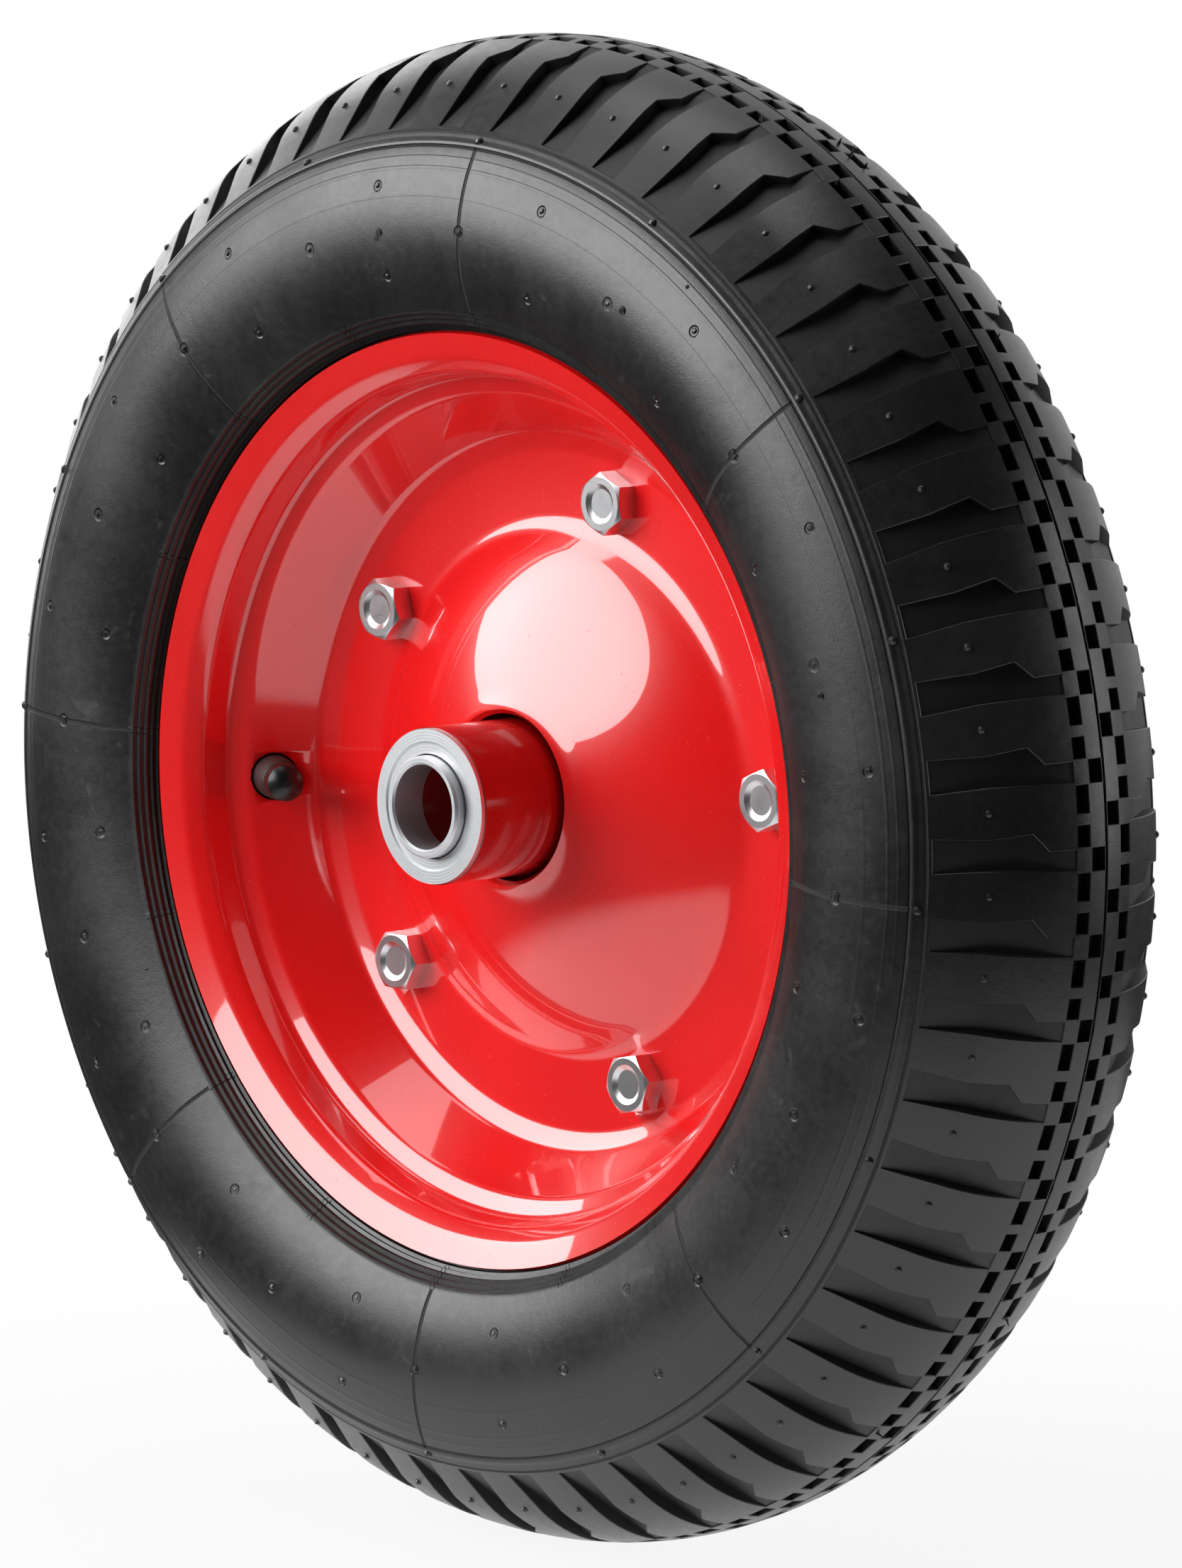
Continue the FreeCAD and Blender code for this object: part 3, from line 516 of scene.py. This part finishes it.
def grooveDepth(along):
    # from the tread's outline down to the groove's straight floor
    place, out = treadPoint(along)
    start, end = (Vector(point) for point in tyre["floorLine"])
    across = (end - start).normalized()
    across = Vector((-across.y, across.x))
    return max((place - start).dot(across) / out.dot(across), tyre["leastDepth"])


def drawnFlat(corners):
    return [Vector((math.radians(angle) * tyre["flatRadius"], alongTread(out))) for angle, out in corners]


def inside(point, polygon):
    return sum(
        (a.y > point.y) != (b.y > point.y) and
        point.x < (b.x - a.x) * (point.y - a.y) / (b.y - a.y) + a.x
        for a, b in zip(polygon, polygon[1:] + polygon[:1])) % 2 == 1


def treadCell(back):
    # one pitch of one side, drawn flat, cut to depth, rounded and bent on the tyre
    edge = crownReach + (Vector(tyre["shoulder"]) - Vector(tyre["crease"])).length
    columns = [math.radians(tyre["cellStart"] + pitch * i / tyre["columns"]) * tyre["flatRadius"]
               for i in range(tyre["columns"] + 1)]
    rows = [0.0, tyre["splitWidth"], *tyre["crownRows"], crownReach, *tyre["flankRows"], edge]
    regions = {"groove": [drawnFlat(tyre["groove"])], "slot": [drawnFlat(slot) for slot in tyre["slots"]],
               "notch": [drawnFlat(tyre["notch"])]}
    points, edges = [], []

    def path(corners, closed=False):
        first = len(points)
        points.extend(corners)
        edges.extend((first + i, first + i + 1) for i in range(len(corners) - 1))
        if closed:
            edges.append((len(points) - 1, first))

    for column in columns:
        path([Vector((column, 0.0)), Vector((column, edge))])
    for row in rows:
        path([Vector((columns[0], row)), Vector((columns[-1], row))])
    for polygons in regions.values():
        for polygon in polygons:
            path(polygon, closed=True)
    cut = geometry.delaunay_2d_cdt(points, edges, [], 2, 0.02)
    work = bmesh.new()
    corners = [work.verts.new((spot.x, spot.y, 0)) for spot in cut[0]]
    kind = {}
    for facet in cut[2]:
        if len(set(facet)) < 3:
            continue
        face = work.faces.new([corners[i] for i in facet])
        middle = face.calc_center_median().xy
        kind[face] = next((name for name, polygons in regions.items()
                           for polygon in polygons if inside(middle, polygon)), None)
        if kind[face] is None and middle.y < tyre["splitWidth"]:
            kind[face] = "split"
    depths = {"groove": None, "slot": tyre["slotDepth"], "notch": tyre["notchDepth"], "split": tyre["splitDepth"]}
    for name, depth in depths.items():
        chosen = [face for face, label in kind.items() if label == name]
        sunk = bmesh.ops.extrude_face_region(work, geom=chosen)["geom"]
        bmesh.ops.delete(work, geom=chosen, context="FACES_ONLY")
        for vert in (g for g in sunk if isinstance(g, bmesh.types.BMVert)):
            vert.co.z -= grooveDepth(vert.co.y) if depth is None else depth
    work.normal_update()
    rims = [e for e in work.edges if len(e.link_faces) == 2 and all(abs(v.co.z) < 1e-6 for v in e.verts)
            and abs(e.link_faces[0].normal.dot(e.link_faces[1].normal)) < 0.5]
    bmesh.ops.bevel(work, geom=rims, offset=tyre["rounding"], segments=1, affect="EDGES", clamp_overlap=True)
    for vert in work.verts:
        place, out = treadPoint(max(vert.co.y, 0.0))
        place += out * vert.co.z
        vert.co = around(place.x, -place.y, math.degrees(vert.co.x / tyre["flatRadius"]))
    if back:
        bmesh.ops.scale(work, vec=(1, -1, 1), verts=work.verts)
        bmesh.ops.reverse_faces(work, faces=work.faces)
    return plainMesh(work, "tread_cell")


def ventCell(radius, out, size, angle=0.0):
    # a small dome left by a vent of the mould, half sunk in the rubber
    work = bmesh.new()
    bmesh.ops.create_uvsphere(work, u_segments=8, v_segments=5, radius=size * mm)
    bmesh.ops.translate(work, verts=work.verts, vec=around(radius, -out, angle))
    return plainMesh(work, "vent")


def whisker(angle, out, height, lean):
    # a thread of rubber left by the mould, from inside the lug outwards
    work = bmesh.new()
    bmesh.ops.create_cone(work, segments=6, radius1=tyre["whiskerRoot"] * mm, radius2=tyre["whiskerTip"] * mm,
                          depth=height * mm, cap_ends=True)
    root = treadPoint(alongTread(abs(out)))[0]
    bmesh.ops.translate(work, verts=work.verts, vec=(0, 0, (height / 2 - tyre["whiskerSunk"]) * mm))
    bmesh.ops.rotate(work, cent=(0, 0, 0), verts=work.verts, matrix=turned(lean, "X") @ turned(lean, "Y"))
    bmesh.ops.translate(work, verts=work.verts, vec=(0, math.copysign(root.y, out) * mm, root.x * mm))
    bmesh.ops.rotate(work, cent=(0, 0, 0), verts=work.verts, matrix=turned(90 - angle, "Y"))
    return plainMesh(work, "whisker")


def tyreSide():
    # from the shoulder line down over the bead to the middle of the air space
    middle, curve = Vector(tyre["sideMiddle"]), tyre["sideCurve"]
    top, bottom = tyre["sideReach"]
    line = [tyre["shoulder"], *tyre["band"]]
    for step in range(tyre["sideSteps"] + 1):
        radius = top - (top - bottom) * step / tyre["sideSteps"]
        line.append((radius, middle.y + math.sqrt(curve ** 2 - (radius - middle.x) ** 2)))
    # fine ribs along the two straight runs of the bead's foot; the second is a little shorter
    start, bend, end = (Vector(point) for point in tyre["beadFoot"])
    count, both, second = tyre["ribs"] * tyre["ribSteps"], 1.9, 0.9
    for step in range(count + 1):
        along = step / count * both
        spot = start.lerp(bend, along) if along < 1 else bend.lerp(end, (along - 1) / second)
        way = (bend - start if along < 1 else end - bend).normalized()
        swell = tyre["ribHeight"] * math.sin(math.pi * tyre["ribs"] * step / count) ** 2
        line.append((spot.x + way.y * swell, spot.y - way.x * swell))
    return [(radius, -out) for radius, out in line + tyre["toe"] + tyre["airSpace"]]


def tyreShell():
    front = tyreSide()
    work = bmesh.new()
    lathe(work, front + [(radius, -out) for radius, out in reversed(front)], tyre["pitches"] * tyre["columns"],
          tyre["firstGroove"] + tyre["cellStart"])
    return plainMesh(work, "tyre_shell")


def tyreSkin():
    # the shell and both rows of the tread; the back row is half a pitch on
    work = bmesh.new()
    for mesh in (tyreShell(),
                 ringMesh("tread_front", treadCell(False), tyre["pitches"], tyre["firstGroove"], rubber),
                 ringMesh("tread_back", treadCell(True), tyre["pitches"], tyre["firstGroove"] + pitch / 2, rubber)):
        work.from_mesh(mesh)
    return finishMesh(work, "tyre_skin", 0.01, tyre["sharp"])


def tyreVents():
    radius, out, size, ahead = tyre["lugVent"]
    vents = []
    for side in (1, -1):
        turn = tyre["firstGroove"] + ahead + (0 if side > 0 else pitch / 2)
        vents.append(ringMesh("lug_vents", ventCell(radius, out * side, size), tyre["pitches"], turn, rubber))
        for pipRadius, pipOut, pipSize, copies, turn in tyre["pips"]:
            vents.append(ringMesh("pips", ventCell(pipRadius, pipOut * side, pipSize), copies, turn, rubber))
        vents += [ventCell(scarRadius, scarOut * side, scarSize, angle)
                  for scarRadius, scarOut, scarSize, angle in tyre["scars"]]
    return vents


detail = bmesh.new()
for mesh in [tyreSkin()] + tyreVents() + [whisker(*each) for each in tyre["whiskers"]]:
    detail.from_mesh(mesh)
tyreMesh = plainMesh(detail, "tyre_detail")
addPiece("tyre_detail", tyreMesh, "wheel", rubber, "tyre", "tyre")
print("tyre ready,", sum(len(p.vertices) - 2 for p in tyreMesh.polygons), "triangles")


# rim halves, pressed from sheet with round bends

rim = {
    "sheet": 1.6, "steps": 320, "sharp": 50.0, "fineness": 7.0,
    "boltRing": 71.65, "boltTurn": 3.85, "bolts": 5, "boltHole": 4.5,
    "valveTurn": 182.7, "valveRadius": 91.38, "valveOut": 12.644, "valveLean": 33.05, "valveHole": 5.75,
    "outside": [(109.7, 33.3, 0), (103.8, 31.1, 5.0), (100.2, 27.6, 4.0), (99.4, 20.5, 2.6), (94.8, 17.9, 4.5),
                (85.3, 3.3, 4.0), (80.7, 1.6, 5.0), (62.8, 1.6, 9.0)],
    "dome": 107.7, "domeMiddle": -85.85, "domeSteps": 14, "domeFoot": 58.0,
    # the hub hole of each half, and its drawn lip as (radius past the hole, out)
    "frontHole": 20.8, "backHole": 19.6, "lipFoot": 3.2, "lip": [(1.9, 19.75), (0.9, 20.25), (0, 21.0)],
    "drillLength": 14.0, "drillSides": 40,
}


def rimLine(hole):
    dome = []
    for index in range(rim["domeSteps"] + 1):
        radius = rim["domeFoot"] + (hole + rim["lipFoot"] - rim["domeFoot"]) * index / rim["domeSteps"]
        dome.append((radius, rim["domeMiddle"] + math.sqrt(rim["dome"] ** 2 - radius ** 2)))
    line = rounded(rim["outside"] + [(dome[0][0], dome[0][1], 0)], rim["fineness"])[:-1]
    return line + dome + [(hole + past, out) for past, out in rim["lip"]]


def drill(place, radius):
    work = bmesh.new()
    bmesh.ops.create_cone(work, segments=rim["drillSides"], radius1=radius * mm, radius2=radius * mm,
                          depth=rim["drillLength"] * mm, cap_ends=True, matrix=place)
    tool = bpy.data.objects.new("drill", plainMesh(work, "drill"))
    scene.collection.objects.link(tool)
    return tool


def rimHalf(name, side, hole, holes):
    line = rimLine(hole)
    back = offsetLine(line, -rim["sheet"])
    work = bmesh.new()
    lathe(work, [(radius, out * side) for radius, out in line + back[::-1]], rim["steps"], closed=True)
    mesh = finishMesh(work, name, 0.001, rim["sharp"])
    half = addPiece(name, mesh, "wheel", paint, "paint", "rim_front" if side < 0 else "rim_back")
    tools = [drill(place, radius) for place, radius in holes]
    for tool in tools:
        modifier = half.modifiers.new("hole", "BOOLEAN")
        modifier.operation, modifier.object, modifier.solver = "DIFFERENCE", tool, "EXACT"
    result = evaluated(half)
    half.modifiers.clear()
    half.data = result
    for tool in tools:
        bpy.data.objects.remove(tool)
    for polygon in result.polygons:
        polygon.use_smooth = True


def boltPlaces():
    return [(Matrix.Translation(around(rim["boltRing"], 0, rim["boltTurn"] + 360 / rim["bolts"] * index))
             @ Matrix.Rotation(math.radians(90), 4, "X"), rim["boltHole"]) for index in range(rim["bolts"])]


def valveFrame():
    # Z runs along the stem, origin in the middle of its hole
    turn = math.radians(rim["valveTurn"])
    lean = math.radians(rim["valveLean"])
    outward = Vector((math.cos(turn), 0, math.sin(turn)))
    axis = -outward * math.cos(lean) - Vector((0, 1, 0)) * math.sin(lean)
    across = axis.cross(Vector((0, 1, 0))).normalized()
    frameTurn = Matrix((across, axis.cross(across), axis)).transposed().to_4x4()
    return Matrix.Translation(around(rim["valveRadius"], -rim["valveOut"], rim["valveTurn"])) @ frameTurn


rimHalf("rim_front_pressed", -1, rim["frontHole"], boltPlaces() + [(valveFrame(), rim["valveHole"])])
rimHalf("rim_back_pressed", 1, rim["backHole"], boltPlaces())
print("rim halves ready")


# bolts and nuts

bolt = {
    "flats": 13.0, "sides": 48, "sharp": 28.0, "chamfer": 0.577, "plate": 1.6,
    "head": 5.3, "headHole": 4.2, "headTurn": 11, "headTop": 0.965, "topDrop": 0.15,
    "dish": 4.4, "dishDepth": 0.75, "dishRounding": 0.35, "dishSlope": 0.9, "dishMiddle": 1.2,
    "nut": 6.5, "nutHole": 4.1, "nutTurn": 4, "nutFoot": 0.97, "footRise": 0.12, "nutGap": 0.02,
    "holeChamfer": 0.45, "holeDrop": 0.4,
    # the thread starts a little inside the head, and fades at both its ends
    "shank": 4.0, "play": 0.03, "length": 16.0, "overlap": 0.2, "pitch": 1.25, "threadDepth": 0.62,
    "threadSteps": 20, "threadLevels": 6, "fadeIn": 1.2, "fadeOut": 0.8, "fadeLeast": 0.2,
    "tip": 0.5, "tipShare": 0.8,
}


def hexRadius(turn, flats):
    # distance from the middle to a hexagon's side in one direction
    return flats / 2 / math.cos((turn + math.pi / 6) % (math.pi / 3) - math.pi / 6)


def hexHead(work, low, high, hole, isNut):
    # a hexagon with corners turned off, from out=low to out=high, along +Y at the origin
    outer = bolt["flats"] / 2
    rows = []

    def row(out, radius=None, slope=0.0):
        # one ring, on the hexagon's sides where it has no radius
        ring = []
        for index in range(bolt["sides"]):
            turn = 2 * math.pi * index / bolt["sides"]
            size = hexRadius(turn, bolt["flats"]) if radius is None else radius
            place = Vector((size * math.cos(turn), out + slope * (size - outer), size * math.sin(turn)))
            ring.append(work.verts.new(place * mm))
        rows.append(ring)

    row(low, hole)
    if isNut:
        row(low, outer * bolt["nutFoot"])
        row(low + bolt["footRise"], slope=bolt["chamfer"])
    else:
        row(low)
    row(high - bolt["topDrop"], slope=-bolt["chamfer"])
    row(high, outer * bolt["headTop"])
    if isNut:
        row(high, hole + bolt["holeChamfer"])
        row(high - bolt["holeDrop"], hole)
        bridge(work, rows)
    else:
        row(high, bolt["dish"] + bolt["dishRounding"])
        row(high - bolt["dishDepth"] * bolt["dishRounding"], bolt["dish"])
        row(high - bolt["dishDepth"], bolt["dish"] - bolt["dishSlope"])
        row(high - bolt["dishDepth"], bolt["dishMiddle"])
        bridge(work, rows)
        work.faces.new(rows[-1])


def thread(work, start, end, radius):
    # a thread as a helical wave on a cylinder, closed at its far end
    steps = bolt["threadSteps"]
    count = round((end - start) / bolt["pitch"] * bolt["threadLevels"])
    rows = []
    for level in range(count + 1):
        out = start + (end - start) * level / count
        fade = min(1.0, (out - start) / bolt["fadeIn"], (end - out) / bolt["fadeOut"] + bolt["fadeLeast"])
        ring = []
        for index in range(steps):
            wave = abs(((out / bolt["pitch"] + index / steps) % 1.0) * 2 - 1)
            size = radius - bolt["threadDepth"] * wave * fade
            turn = 2 * math.pi * index / steps
            ring.append(work.verts.new(Vector((size * math.cos(turn), out, size * math.sin(turn))) * mm))
        rows.append(ring)
    tip = [work.verts.new((v.co.x * bolt["tipShare"], v.co.y + bolt["tip"] * mm, v.co.z * bolt["tipShare"]))
           for v in rows[-1]]
    bridge(work, rows + [tip])
    work.faces.new(tip)
    work.faces.new(rows[0][::-1])


def atBoltRing(work, name, degrees):
    bmesh.ops.rotate(work, cent=(0, 0, 0), matrix=turned(degrees, "Y"), verts=work.verts)
    bmesh.ops.translate(work, verts=work.verts, vec=(rim["boltRing"] * mm, 0, 0))
    return finishMesh(work, name, 0.0, bolt["sharp"])


def boltMesh():
    # head towards -Y on the plate's front, thread towards +Y
    work = bmesh.new()
    hexHead(work, bolt["plate"], bolt["plate"] + bolt["head"], bolt["headHole"], False)
    bmesh.ops.scale(work, vec=(1, -1, 1), verts=work.verts)
    thread(work, -bolt["plate"] - bolt["overlap"], bolt["length"] - bolt["plate"] - bolt["tip"],
           bolt["shank"] - bolt["play"])
    return atBoltRing(work, "bolt", bolt["headTurn"])


def nutMesh():
    work = bmesh.new()
    hexHead(work, bolt["plate"] + bolt["nutGap"], bolt["plate"] + bolt["nut"], bolt["nutHole"], True)
    return atBoltRing(work, "nut", bolt["nutTurn"])


for name, mesh, node in (("rim_bolts_detail", boltMesh(), "rim_bolts"), ("rim_nuts_detail", nutMesh(), "rim_nuts")):
    ring = ringMesh(name, mesh, rim["bolts"], rim["boltTurn"], zinc)
    addPiece(name, ring, "wheel", zinc, "zinc", node)
print("bolts and nuts ready")


# finishes of the solids, the replaced ones too

finishOf = {
    "tyre": rubber, "inner_tube": tubeRubber, "rim_front": paint, "rim_back": paint, "hub_tube": shadedTubePaint,
    "hub_weld": weldPaint, "rim_bolts": zinc, "rim_nuts": zinc, "bearing_shell_front": satinSteel,
    "bearing_shell_back": satinSteel, "race_front": satinSteel, "race_back": satinSteel, "ball_retainers": zinc,
    "bearing_balls": ballSteel, "valve_rubber": stemRubber, "valve_body": brass, "valve_core": brass,
    "valve_pin": brass, "valve_cap": capPlastic,
}
for name, finish in finishOf.items():
    materials = nodes[name].data.materials
    materials.clear()
    materials.append(finish)
print("finishes on the solids")


# floor, backdrop, lamps, camera; in metres here

studio = {
    "floor": -0.1782, "floorHalf": 3, "floorGrey": 0.66, "shadowReach": (0.12, 0.45), "nearWhite": 0.9,
    # a painted pool of light on the floor that the paint reflects, and how much darker the rest is
    "lightPoolMiddle": (0.12, 0.05), "lightPool": 0.33, "lightPoolSoft": 0.08, "lightPoolDark": 0.96,
    "room": 0.03, "ambient": 0.12, "behind": (-0.56, 0.83, 0.0), "behindReach": (0.45, 0.7),
    # azimuth from the front to the right, elevation, distance, width, height, power and shape
    "lamps": {
        "key": (-38, 24, 1.1, 1.31, 0.79, 15, "ELLIPSE"),
        "top": (-70, 76, 1.5, 1.0, 1.0, 7, "RECTANGLE"),
        "left": (-112, 14, 1.8, 0.8, 1.4, 7, "RECTANGLE"),
        "far_right": (132, 12, 1.8, 0.7, 1.3, 9, "RECTANGLE"),
    },
}


def stage():
    half, floorHeight = studio["floorHalf"], studio["floor"]
    corners = ((-half, -half), (half, -half), (half, half), (-half, half))
    work = bmesh.new()
    work.faces.new([work.verts.new((x, y, floorHeight)) for x, y in corners])
    mesh = plainMesh(work, "floor")
    floor = bpy.data.objects.new("floor", mesh)
    scene.collection.objects.link(floor)
    material = bpy.data.materials.new("pale_floor")
    material.use_nodes = True
    material.node_tree.nodes.clear()
    m = Maker(material.node_tree)
    seen, glossy, clear = m.rays()
    place = m.node("TexCoord", out="Object")
    away = m.measure("DISTANCE", place, (0, 0, floorHeight))
    aside = m.measure("DISTANCE", place, (*studio["lightPoolMiddle"], floorHeight))
    # painted light: a bright pool on the floor, seen only in reflections
    lightPool = aside.ramp(studio["lightPool"], studio["lightPool"] + studio["lightPoolSoft"], 1.0, 0.0)
    bare = away.ramp(*studio["shadowReach"], studio["nearWhite"], 1.0)
    share = (seen.larger(clear) * bare).larger(glossy)
    plain = m.node("BsdfDiffuse", {}, {"Color": tint(*[studio["floorGrey"]] * 3)})
    strength = 1.0 - glossy * (1.0 - lightPool) * studio["lightPoolDark"]
    white = m.node("Emission", {}, {"Color": tint(1, 1, 1), "Strength": strength})
    m.node("OutputMaterial", {}, [m.node("MixShader", {}, [share, plain, white])])
    mesh.materials.append(material)


def skyLight():
    # white for the camera and behind the object, a dim room in front of it for reflections
    world = bpy.data.worlds.new("studio")
    scene.world = world
    world.use_nodes = True
    world.node_tree.nodes.clear()
    m = Maker(world.node_tree)
    seen, glossy, clear = m.rays()
    way = m.node("TexCoord", out="Generated")
    behind = m.measure("DOT_PRODUCT", way, studio["behind"]).ramp(*studio["behindReach"])
    direct = seen.larger(clear).larger(glossy * behind)
    dim = m.mix(glossy, tint(*[studio["ambient"]] * 3), tint(*[studio["room"]] * 3))
    sky = m.node("Background", {}, {"Color": m.mix(direct, dim, tint(1, 1, 1)), "Strength": 1.0})
    m.node("OutputWorld", {}, [sky])


def wayTo(azimuth, elevation):
    # azimuth from the front, to the right
    turn, rise = math.radians(azimuth), math.radians(elevation)
    return Vector((math.sin(turn) * math.cos(rise), -math.cos(turn) * math.cos(rise), math.sin(rise)))


def facingIn(name, data, way, distance):
    # a lamp or camera that looks at the middle of the wheel
    made = bpy.data.objects.new(name, data)
    made.location = way * distance
    made.rotation_euler = way.to_track_quat("Z", "Y").to_euler()
    scene.collection.objects.link(made)
    return made


def softbox(name, azimuth, elevation, distance, width, height, power, shape):
    lamp = bpy.data.lights.new(name, "AREA")
    lamp.shape, lamp.size, lamp.size_y, lamp.energy = shape, width, height, power
    facingIn(name, lamp, wayTo(azimuth, elevation), distance)


# the lens and the shifts are shares of the picture's height
view = {"azimuth": 47.44, "elevation": 7.37, "distance": 2.791, "sensor": 24.0, "lens": 16723 / 2212,
        "right": 29.1 / 2212, "up": 8.3 / 2212}


def camera():
    made = bpy.data.cameras.new("camera")
    made.sensor_fit, made.sensor_height = "VERTICAL", view["sensor"]
    made.lens = view["sensor"] * view["lens"]
    made.shift_x, made.shift_y = view["right"], view["up"]
    scene.camera = facingIn("camera", made, wayTo(view["azimuth"], view["elevation"]), view["distance"])


stage()
skyLight()
for name, settings in studio["lamps"].items():
    softbox(name, *settings)
camera()
scene.view_settings.view_transform = "Standard"
print("stage ready")
